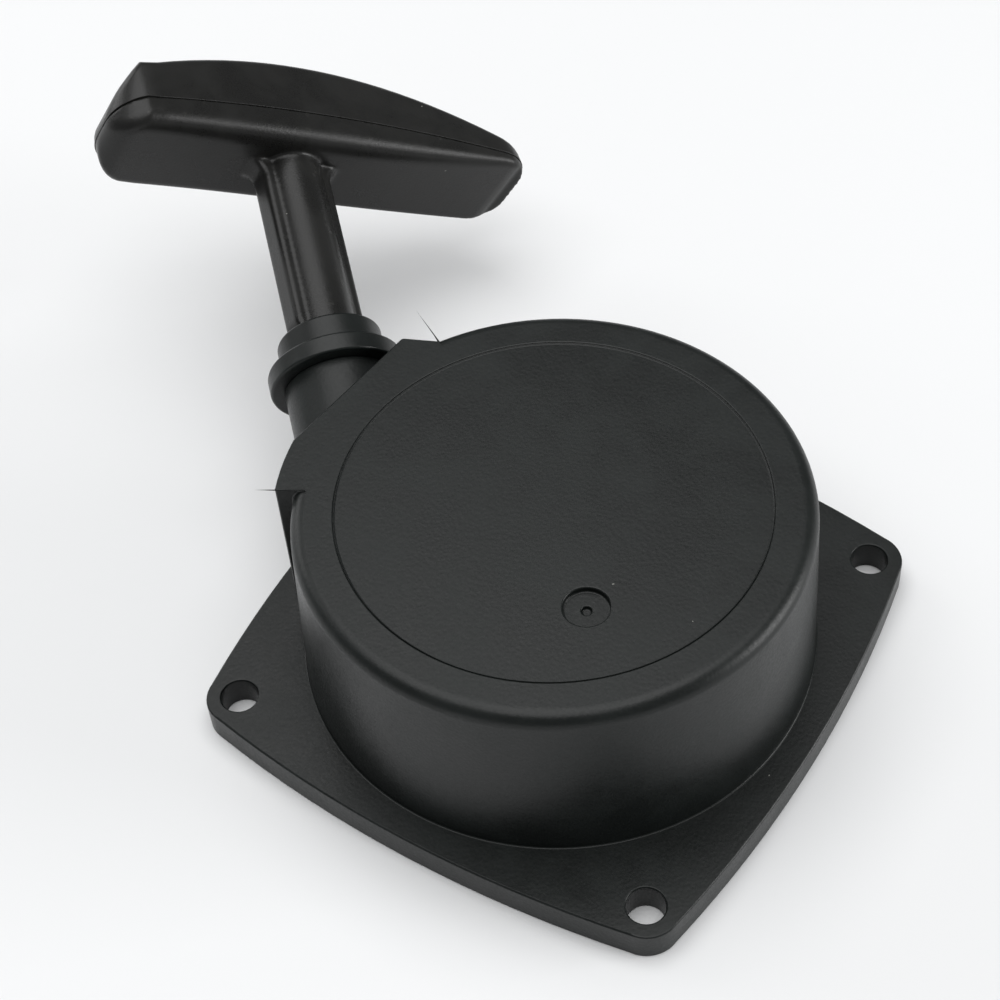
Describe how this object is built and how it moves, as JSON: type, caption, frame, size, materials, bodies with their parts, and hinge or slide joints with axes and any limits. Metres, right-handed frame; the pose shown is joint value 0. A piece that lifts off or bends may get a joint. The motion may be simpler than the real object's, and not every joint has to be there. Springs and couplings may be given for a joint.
{
  "type": "recoil starter",
  "caption": "Pull-cord recoil starter in a moulded cup on a square bolt flange, with a twisted T-grip, rope reel, spiral spring and swing-out pawls.",
  "frame": {"origin": "crank axis at the flange's mounting face", "axes": "+Z along the crank axis away from the engine, X and Y along the sides of the square hole pattern"},
  "size_m": [0.144, 0.1161, 0.0579],
  "materials": {
    "moulded_plastic": "fine moulded texture",
    "grip_plastic": "satin moulded",
    "reel_plastic": "glass-filled nylon",
    "rope": "braided cord",
    "spring_steel": "oiled spring steel",
    "plated_steel": "zinc plated"
  },
  "bodies": {
    "housing": {"housing": "moulded_plastic", "rope_guide": "moulded_plastic", "recoil_spring": "spring_steel", "spring_cover": "plated_steel", "reel_bush": "plated_steel", "rope_lead": "rope", "friction_spring": "spring_steel", "center_washer": "plated_steel", "center_screw": "plated_steel"},
    "reel": {"reel": "reel_plastic", "rope_winding": "rope", "reel_knot": "rope", "pawl_pins": "plated_steel", "pawl_clips": "spring_steel"},
    "guide_plate": {"guide_plate": "plated_steel"},
    "pawl_a": {"pawl_a": "plated_steel", "pawl_spring_a": "spring_steel"},
    "pawl_b": {"pawl_b": "plated_steel", "pawl_spring_b": "spring_steel"},
    "rope": {"handle_rope": "rope", "handle_knot": "rope"},
    "handle": {"handle_body": "grip_plastic", "handle_cap": "grip_plastic", "knot_washer": "plated_steel"}
  },
  "joints": [
    {"name": "reel_turn", "type": "hinge", "parent": "housing", "child": "reel", "pos_m": [0, 0, 0], "axis": [0, 0, 1], "range_deg": [-1440, 0], "stiffness_Nm_per_rad": 0.01, "springref_deg": 916.73},
    {"name": "rope_pull", "type": "slide", "parent": "housing", "child": "rope", "axis": [-0.6867, 0.6867, 0.2385], "range_m": [0, 0.42]},
    {"name": "grip_swivel", "type": "hinge", "parent": "rope", "child": "handle", "pos_m": [-0.07667, 0.04144, 0.03605], "axis": [-0.6867, 0.6867, 0.2385], "continuous": true},
    {"name": "plate_turn", "type": "hinge", "parent": "reel", "child": "guide_plate", "pos_m": [0, 0, 0], "axis": [0, 0, 1], "range_deg": [0, 20]},
    {"name": "pawl_a_swing", "type": "hinge", "parent": "reel", "child": "pawl_a", "pos_m": [0.017, 0, 0], "axis": [0, 0, 1], "range_deg": [0, 40]},
    {"name": "pawl_b_swing", "type": "hinge", "parent": "reel", "child": "pawl_b", "pos_m": [-0.017, 0, 0], "axis": [0, 0, 1], "range_deg": [0, 40]}
  ],
  "couplings": [
    {"joint": "rope_pull", "follows": "reel_turn", "m_per_rad": -0.01665},
    {"joint": "pawl_a_swing", "follows": "plate_turn", "ratio": 2},
    {"joint": "pawl_b_swing", "follows": "plate_turn", "ratio": 2}
  ]
}
